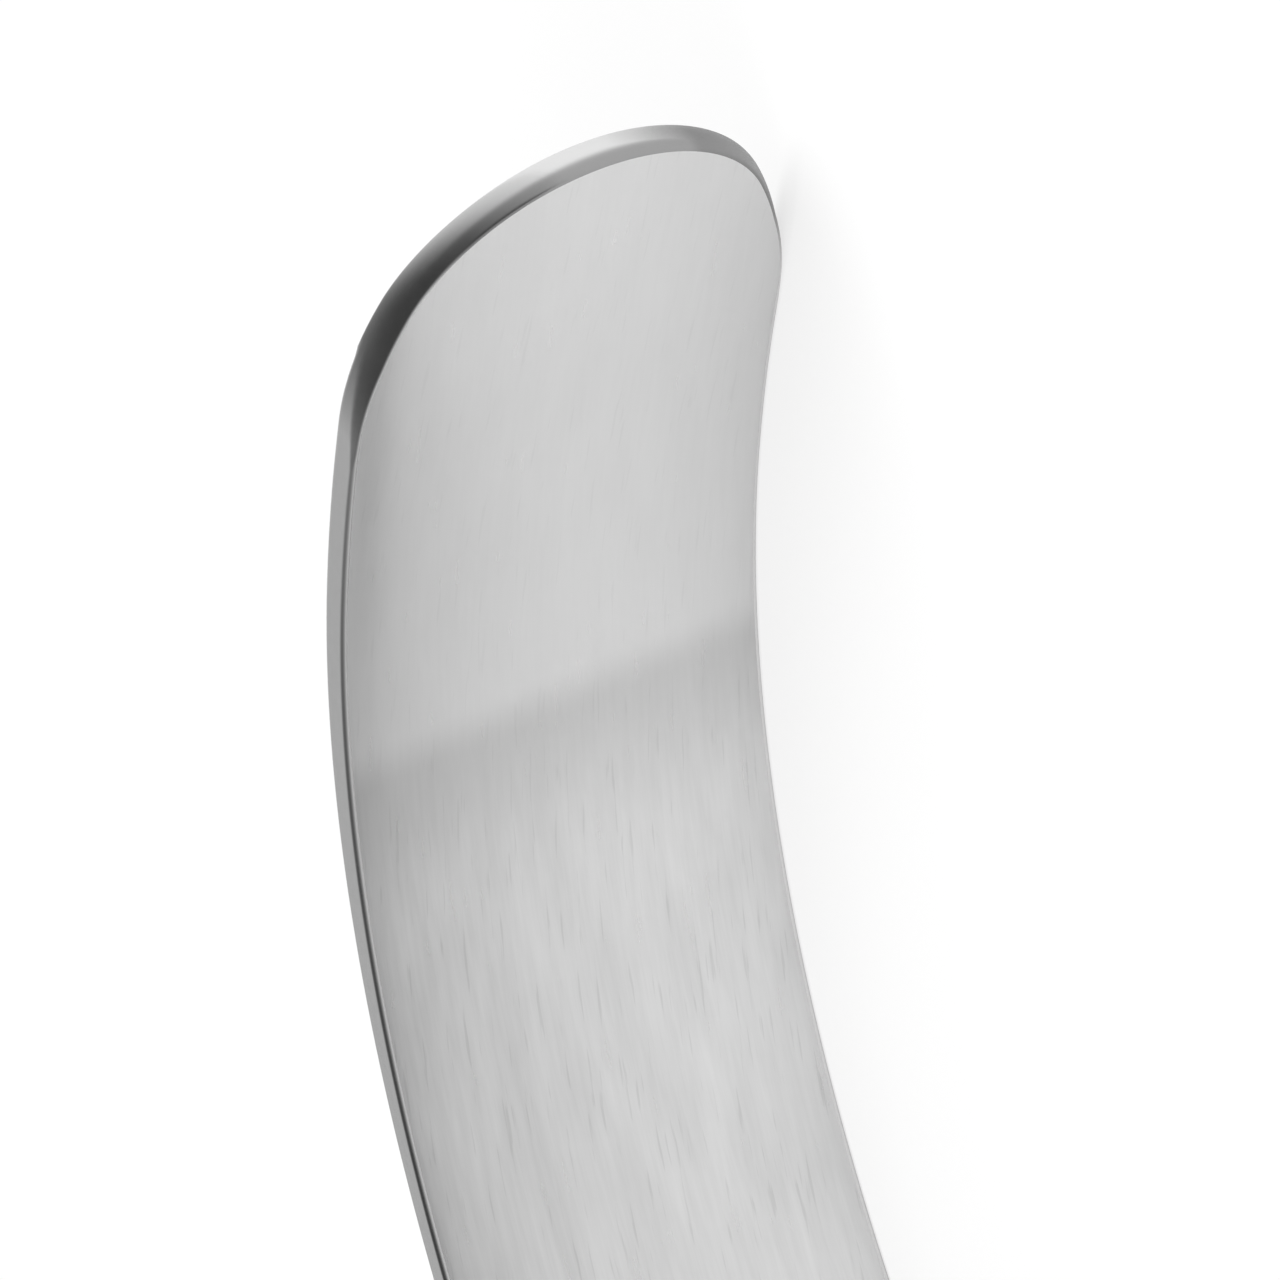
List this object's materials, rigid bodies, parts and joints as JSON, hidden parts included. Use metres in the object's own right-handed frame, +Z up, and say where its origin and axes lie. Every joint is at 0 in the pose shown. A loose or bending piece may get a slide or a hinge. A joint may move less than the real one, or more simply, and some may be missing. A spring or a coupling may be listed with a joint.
{
  "type": "surgical retractor",
  "caption": "Hand-held hooked ribbon retractor: one strip of stainless steel with a rounded, deeply curved blade, a flat shaft and a small reversed hook as its handle end.",
  "frame": {"origin": "on the lower long edge, midway in the strip's thickness, where the straight shaft meets the heel of the blade", "axes": "+X along the shaft towards the blade, +Z up across the strip's width, the blade curling towards -Y and the handle hook towards +Y; it lies on one long edge"},
  "size_m": [0.304, 0.1585, 0.025],
  "materials": {
    "stainless_steel": "brushed lengthwise on the faces, polished on the edges and the rims of the ends"
  },
  "bodies": {
    "root": {"retractor": "stainless_steel"}
  },
  "joints": []
}
